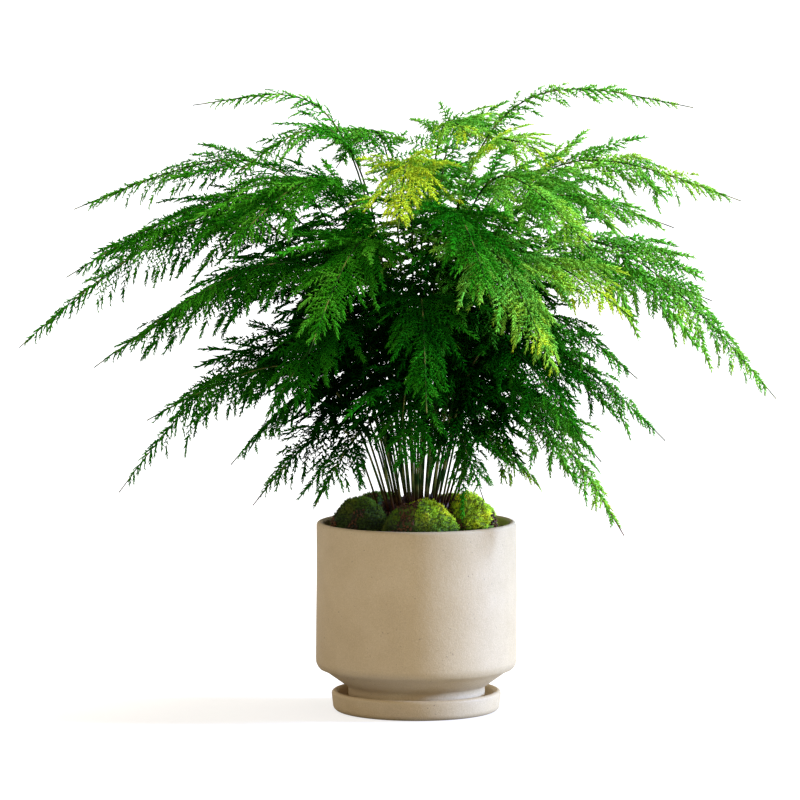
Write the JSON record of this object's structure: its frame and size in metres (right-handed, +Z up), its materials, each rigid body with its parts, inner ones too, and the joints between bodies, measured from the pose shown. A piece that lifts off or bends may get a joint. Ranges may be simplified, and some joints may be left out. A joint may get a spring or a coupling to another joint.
{
  "type": "potted asparagus fern",
  "caption": "Feathery asparagus fern with thin arching shoots, rising from moss cushions in a round stoneware pot that stands on its saucer.",
  "frame": {"origin": "centre of the saucer's flat underside", "axes": "+Z up out of the pot, +X to the side with the wide pale drooping frond, -Y to the side the plant is seen from"},
  "size_m": [0.5633, 0.4239, 0.4731],
  "materials": {
    "stoneware": "matte unglazed stoneware, fine grain, faint mottling and a few dark specks",
    "soil": "dark crumbly potting soil with bark",
    "crown": "dark purple-brown fibrous rhizome",
    "moss": "dense short cushion moss, yellow-green",
    "foliage": "fine soft needles on wiry near-black green stems, bright yellow-green at the tips"
  },
  "bodies": {
    "root": {"saucer": "stoneware", "pot": "stoneware", "soil": "soil", "crown": "crown", "moss_front": "moss", "moss_left": "moss", "moss_right": "moss", "moss_back_left": "moss", "moss_back_right": "moss", "frond_top_01": "foliage", "frond_top_02": "foliage", "frond_top_03": "foliage", "frond_top_04": "foliage", "frond_top_05": "foliage", "frond_top_06": "foliage", "frond_top_07": "foliage", "frond_upper_01": "foliage", "frond_upper_02": "foliage", "frond_upper_03": "foliage", "frond_upper_04": "foliage", "frond_upper_05": "foliage", "frond_upper_06": "foliage", "frond_upper_07": "foliage", "frond_upper_08": "foliage", "frond_upper_09": "foliage", "frond_upper_10": "foliage", "frond_upper_11": "foliage", "frond_middle_01": "foliage", "frond_middle_02": "foliage", "frond_middle_03": "foliage", "frond_middle_04": "foliage", "frond_middle_05": "foliage", "frond_middle_06": "foliage", "frond_middle_07": "foliage", "frond_middle_08": "foliage", "frond_middle_09": "foliage", "frond_middle_10": "foliage", "frond_middle_11": "foliage", "frond_middle_12": "foliage", "frond_lower_01": "foliage", "frond_lower_02": "foliage", "frond_lower_03": "foliage", "frond_lower_04": "foliage", "frond_lower_05": "foliage", "frond_lower_06": "foliage", "frond_lower_07": "foliage", "frond_lower_08": "foliage", "frond_lower_09": "foliage", "frond_lower_10": "foliage", "frond_skirt_01": "foliage", "frond_skirt_02": "foliage", "frond_skirt_03": "foliage", "frond_skirt_04": "foliage", "frond_skirt_05": "foliage", "frond_skirt_06": "foliage", "frond_skirt_07": "foliage", "frond_skirt_08": "foliage"}
  },
  "joints": []
}
